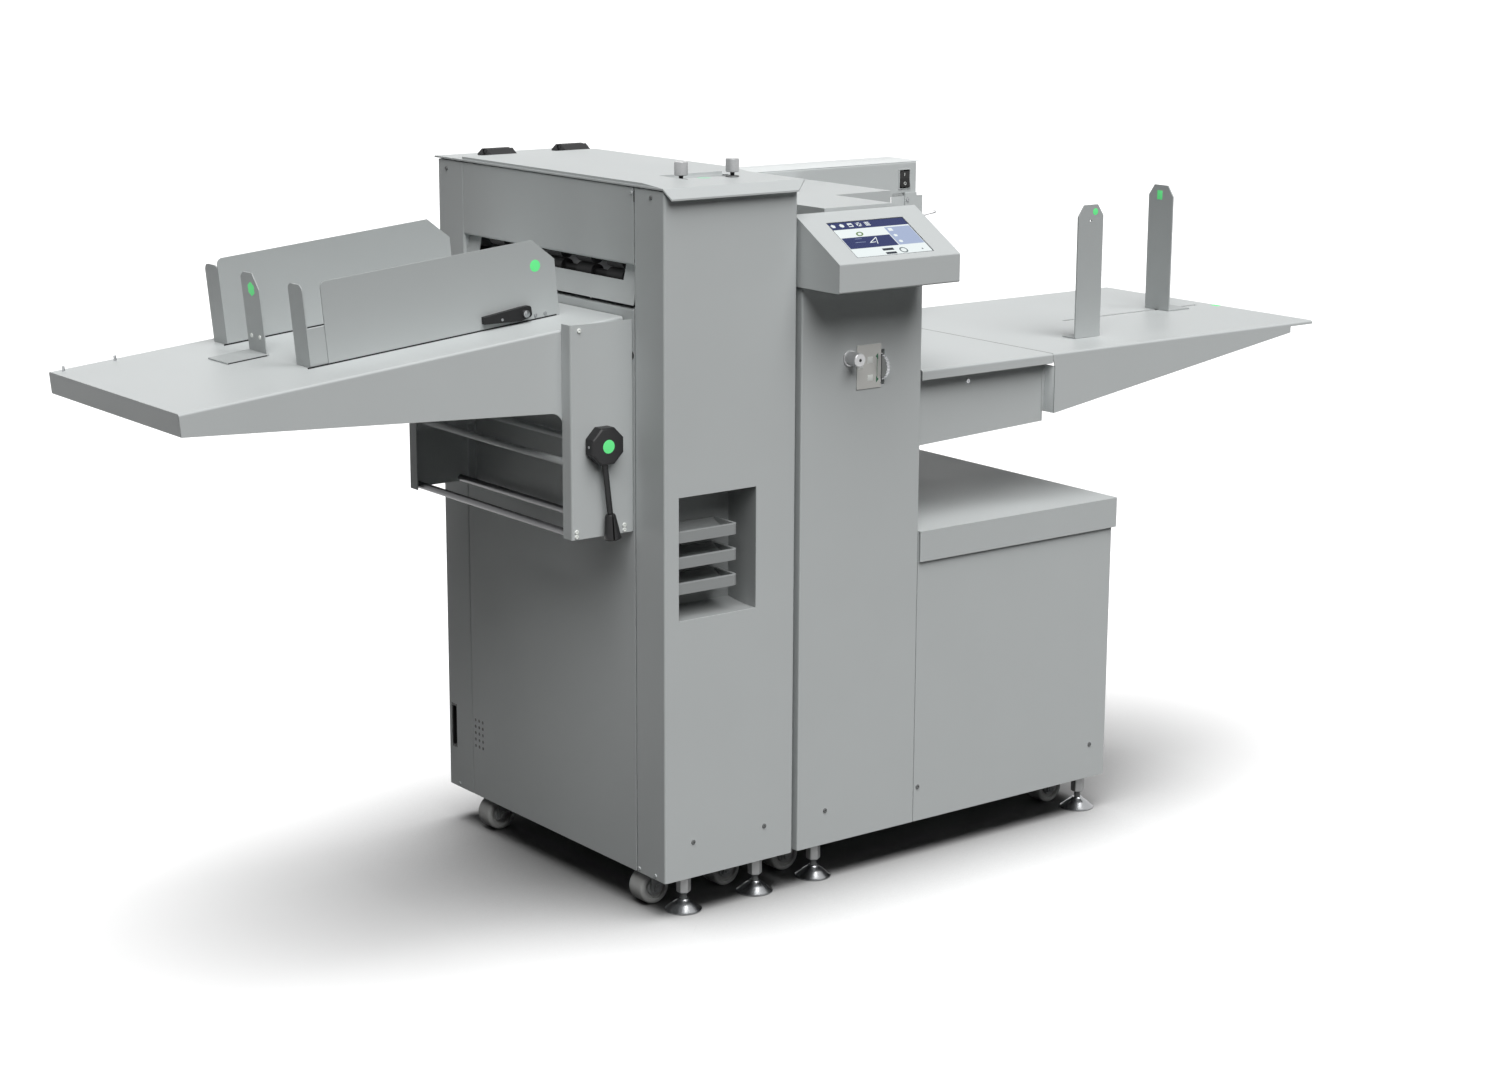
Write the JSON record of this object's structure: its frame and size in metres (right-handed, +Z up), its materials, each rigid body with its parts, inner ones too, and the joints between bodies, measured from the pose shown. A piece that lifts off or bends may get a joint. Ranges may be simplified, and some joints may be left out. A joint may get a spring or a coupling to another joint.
{
  "type": "paper creasing machine",
  "caption": "Floor-standing automatic paper creaser: hinged-lid tower, pile feeder with lifting feed table and tilted touch screen, sloping delivery tray, casters and feet.",
  "frame": {"origin": "centre of the footprint, on the floor", "axes": "+X along the paper path from the delivery tray to the feed table, +Y from the operator to the back, +Z up"},
  "size_m": [2.3802, 0.813, 1.283],
  "materials": {
    "light_grey_paint": "satin",
    "machined_steel": "satin",
    "niche_plastic": "satin",
    "black_enamel": "satin",
    "turned_aluminium": "satin",
    "roller_rubber": "matte",
    "screen_glass": "gloss",
    "gloss_black": "gloss",
    "cast_aluminium": "matte",
    "bright_chrome": "gloss",
    "grey_plastic": "satin",
    "black_plastic": "satin",
    "zinc_plate": "satin",
    "caster_rubber": "matte"
  },
  "bodies": {
    "frame": {"tower_frame": "machined_steel", "tower_front_panel": "light_grey_paint", "tower_rear_panel": "light_grey_paint", "tower_side_panels": "light_grey_paint", "tool_niche": "niche_plastic", "fixed_hinge_leaves": "black_enamel", "drive_motor": "black_enamel", "feeder_column": "light_grey_paint", "feeder_chassis": "machined_steel", "low_cabinet": "light_grey_paint", "cabinet_lid": "light_grey_paint", "console_housing": "light_grey_paint", "touchscreen": "screen_glass", "head_cover": "light_grey_paint", "air_beam": "light_grey_paint", "feed_belts": "roller_rubber", "vacuum_pump": "cast_aluminium", "delivery_brackets": "light_grey_paint"},
    "lid": {"top_cover": "light_grey_paint", "cover_hinge_leaves": "black_enamel"},
    "knob_left": {"cover_knob_left": "turned_aluminium"},
    "knob_right": {"cover_knob_right": "turned_aluminium"},
    "lower_roller": {"exit_roller_lower": "roller_rubber"},
    "upper_roller": {"exit_roller_upper": "roller_rubber"},
    "eccentric_shaft": {"crease_shaft": "machined_steel"},
    "blade_beam": {"crease_beam": "machined_steel"},
    "rocker": {"rocker_switch": "gloss_black"},
    "skew": {"skew_knob": "bright_chrome"},
    "thumbwheel": {"gap_thumbwheel": "machined_steel"},
    "table": {"feed_table": "light_grey_paint", "table_extension": "light_grey_paint"},
    "side_guide": {"feed_side_guide": "light_grey_paint"},
    "rear_stop": {"backstop": "light_grey_paint"},
    "screw": {"lift_screw": "machined_steel"},
    "tray": {"delivery_tray": "light_grey_paint"},
    "near_side_guide": {"near_guide": "light_grey_paint"},
    "latch": {"guide_latch": "black_plastic"},
    "far_side_guide": {"far_guide": "light_grey_paint"},
    "centre_stop": {"end_stop": "light_grey_paint"},
    "lever": {"clamp_lever": "grey_plastic"},
    "foot_1": {"levelling_foot_1": "bright_chrome"},
    "foot_2": {"levelling_foot_2": "bright_chrome"},
    "foot_3": {"levelling_foot_3": "bright_chrome"},
    "foot_4": {"levelling_foot_4": "bright_chrome"},
    "fork_1": {"caster_fork_1": "zinc_plate"},
    "wheel_1": {"caster_wheel_1": "caster_rubber"},
    "fork_2": {"caster_fork_2": "zinc_plate"},
    "wheel_2": {"caster_wheel_2": "caster_rubber"},
    "fork_3": {"caster_fork_3": "zinc_plate"},
    "wheel_3": {"caster_wheel_3": "caster_rubber"},
    "fork_4": {"caster_fork_4": "zinc_plate"},
    "wheel_4": {"caster_wheel_4": "caster_rubber"},
    "fork_5": {"caster_fork_5": "zinc_plate"},
    "wheel_5": {"caster_wheel_5": "caster_rubber"},
    "fork_6": {"caster_fork_6": "zinc_plate"},
    "wheel_6": {"caster_wheel_6": "caster_rubber"},
    "fork_7": {"caster_fork_7": "zinc_plate"},
    "wheel_7": {"caster_wheel_7": "caster_rubber"},
    "fork_8": {"caster_fork_8": "zinc_plate"},
    "wheel_8": {"caster_wheel_8": "caster_rubber"}
  },
  "joints": [
    {"name": "lid_hinge", "type": "hinge", "parent": "frame", "child": "lid", "pos_m": [-0.24238, 0.3465, 1.258], "axis": [-1, 0, 0], "range_deg": [0, 80]},
    {"name": "knob_left_turn", "type": "hinge", "parent": "lid", "child": "knob_left", "pos_m": [-0.27688, -0.2065, 1.257], "axis": [0, 0, 1], "continuous": true},
    {"name": "knob_right_turn", "type": "hinge", "parent": "lid", "child": "knob_right", "pos_m": [-0.17038, -0.2065, 1.257], "axis": [0, 0, 1], "continuous": true},
    {"name": "lower_roller_spin", "type": "hinge", "parent": "frame", "child": "lower_roller", "pos_m": [-0.34988, 0.0485, 1.089], "axis": [0, 1, 0], "continuous": true},
    {"name": "upper_roller_spin", "type": "hinge", "parent": "frame", "child": "upper_roller", "pos_m": [-0.34988, 0.0485, 1.1153], "axis": [0, 1, 0], "continuous": true},
    {"name": "eccentric_turn", "type": "hinge", "parent": "frame", "child": "eccentric_shaft", "pos_m": [-0.24988, 0.0485, 1.1834], "axis": [0, 1, 0], "range_deg": [-2, 182]},
    {"name": "blade_stroke", "type": "slide", "parent": "frame", "child": "blade_beam", "axis": [0, 0, 1], "range_m": [-0.005, 0]},
    {"name": "rocker_press", "type": "hinge", "parent": "frame", "child": "rocker", "pos_m": [0.51262, 0.1535, 1.178], "axis": [1, 0, 0], "range_deg": [0, 14]},
    {"name": "skew_turn", "type": "hinge", "parent": "frame", "child": "skew", "pos_m": [0.01112, -0.3015, 0.937], "axis": [0, 1, 0], "continuous": true},
    {"name": "thumbwheel_turn", "type": "hinge", "parent": "frame", "child": "thumbwheel", "pos_m": [0.08512, -0.2945, 0.915], "axis": [1, 0, 0], "continuous": true},
    {"name": "table_lift", "type": "slide", "parent": "frame", "child": "table", "axis": [0, 0, 1], "range_m": [-0.13, 0.18]},
    {"name": "screw_turn", "type": "hinge", "parent": "frame", "child": "screw", "pos_m": [0.11512, -0.0125, 0.6], "axis": [0, 0, 1], "range_deg": [-2400, 3300]},
    {"name": "side_guide_slide", "type": "slide", "parent": "table", "child": "side_guide", "axis": [0, 1, 0], "range_m": [-0.06, 0.06]},
    {"name": "rear_stop_slide", "type": "slide", "parent": "table", "child": "rear_stop", "axis": [1, 0, 0], "range_m": [-0.26, 0.06]},
    {"name": "tray_height", "type": "slide", "parent": "frame", "child": "tray", "axis": [0, 0, 1], "range_m": [-0.06, 0.006]},
    {"name": "near_guide_slide", "type": "slide", "parent": "tray", "child": "near_side_guide", "axis": [0, 1, 0], "range_m": [-0.08, 0.09]},
    {"name": "latch_turn", "type": "hinge", "parent": "near_side_guide", "child": "latch", "pos_m": [-0.51082, -0.0805, 1.03344], "axis": [0, 1, 0], "range_deg": [0, 90]},
    {"name": "far_guide_slide", "type": "slide", "parent": "tray", "child": "far_side_guide", "axis": [0, 1, 0], "range_m": [-0.06, 0.02]},
    {"name": "centre_stop_slide", "type": "slide", "parent": "tray", "child": "centre_stop", "axis": [0.9954, 0, 0.096], "range_m": [-0.19, 0.35]},
    {"name": "lever_turn", "type": "hinge", "parent": "frame", "child": "lever", "pos_m": [-0.44688, -0.2135, 0.825], "axis": [0, 1, 0], "range_deg": [0, 100]},
    {"name": "foot_1_turn", "type": "hinge", "parent": "frame", "child": "foot_1", "pos_m": [-0.31988, -0.2715, 0.05], "axis": [0, 0, 1], "continuous": true},
    {"name": "foot_2_turn", "type": "hinge", "parent": "frame", "child": "foot_2", "pos_m": [-0.16488, -0.2715, 0.05], "axis": [0, 0, 1], "continuous": true},
    {"name": "foot_3_turn", "type": "hinge", "parent": "frame", "child": "foot_3", "pos_m": [-0.03338, -0.2715, 0.05], "axis": [0, 0, 1], "continuous": true},
    {"name": "foot_4_turn", "type": "hinge", "parent": "frame", "child": "foot_4", "pos_m": [0.61762, -0.2715, 0.05], "axis": [0, 0, 1], "continuous": true},
    {"name": "fork_1_swivel", "type": "hinge", "parent": "frame", "child": "fork_1", "pos_m": [-0.32788, -0.2015, 0.088], "axis": [0, 0, 1], "continuous": true},
    {"name": "wheel_1_roll", "type": "hinge", "parent": "fork_1", "child": "wheel_1", "pos_m": [-0.34388, -0.2015, 0.03], "axis": [0, 1, 0], "continuous": true},
    {"name": "fork_2_swivel", "type": "hinge", "parent": "frame", "child": "fork_2", "pos_m": [-0.17288, -0.2015, 0.088], "axis": [0, 0, 1], "continuous": true},
    {"name": "wheel_2_roll", "type": "hinge", "parent": "fork_2", "child": "wheel_2", "pos_m": [-0.18888, -0.2015, 0.03], "axis": [0, 1, 0], "continuous": true},
    {"name": "fork_3_swivel", "type": "hinge", "parent": "frame", "child": "fork_3", "pos_m": [-0.32788, 0.2925, 0.088], "axis": [0, 0, 1], "continuous": true},
    {"name": "wheel_3_roll", "type": "hinge", "parent": "fork_3", "child": "wheel_3", "pos_m": [-0.34388, 0.2925, 0.03], "axis": [0, 1, 0], "continuous": true},
    {"name": "fork_4_swivel", "type": "hinge", "parent": "frame", "child": "fork_4", "pos_m": [-0.17288, 0.2925, 0.088], "axis": [0, 0, 1], "continuous": true},
    {"name": "wheel_4_roll", "type": "hinge", "parent": "fork_4", "child": "wheel_4", "pos_m": [-0.18888, 0.2925, 0.03], "axis": [0, 1, 0], "continuous": true},
    {"name": "fork_5_swivel", "type": "hinge", "parent": "frame", "child": "fork_5", "pos_m": [-0.04138, -0.2015, 0.088], "axis": [0, 0, 1], "continuous": true},
    {"name": "wheel_5_roll", "type": "hinge", "parent": "fork_5", "child": "wheel_5", "pos_m": [-0.05738, -0.2015, 0.03], "axis": [0, 1, 0], "continuous": true},
    {"name": "fork_6_swivel", "type": "hinge", "parent": "frame", "child": "fork_6", "pos_m": [0.60962, -0.2015, 0.088], "axis": [0, 0, 1], "continuous": true},
    {"name": "wheel_6_roll", "type": "hinge", "parent": "fork_6", "child": "wheel_6", "pos_m": [0.59362, -0.2015, 0.03], "axis": [0, 1, 0], "continuous": true},
    {"name": "fork_7_swivel", "type": "hinge", "parent": "frame", "child": "fork_7", "pos_m": [-0.04138, 0.1705, 0.088], "axis": [0, 0, 1], "continuous": true},
    {"name": "wheel_7_roll", "type": "hinge", "parent": "fork_7", "child": "wheel_7", "pos_m": [-0.05738, 0.1705, 0.03], "axis": [0, 1, 0], "continuous": true},
    {"name": "fork_8_swivel", "type": "hinge", "parent": "frame", "child": "fork_8", "pos_m": [0.60962, 0.1705, 0.088], "axis": [0, 0, 1], "continuous": true},
    {"name": "wheel_8_roll", "type": "hinge", "parent": "fork_8", "child": "wheel_8", "pos_m": [0.59362, 0.1705, 0.03], "axis": [0, 1, 0], "continuous": true}
  ],
  "couplings": [
    {"joint": "upper_roller_spin", "follows": "lower_roller_spin", "ratio": -1},
    {"joint": "eccentric_turn", "follows": "blade_stroke", "rad_per_m": -628.32},
    {"joint": "screw_turn", "follows": "table_lift", "rad_per_m": 314.16}
  ]
}
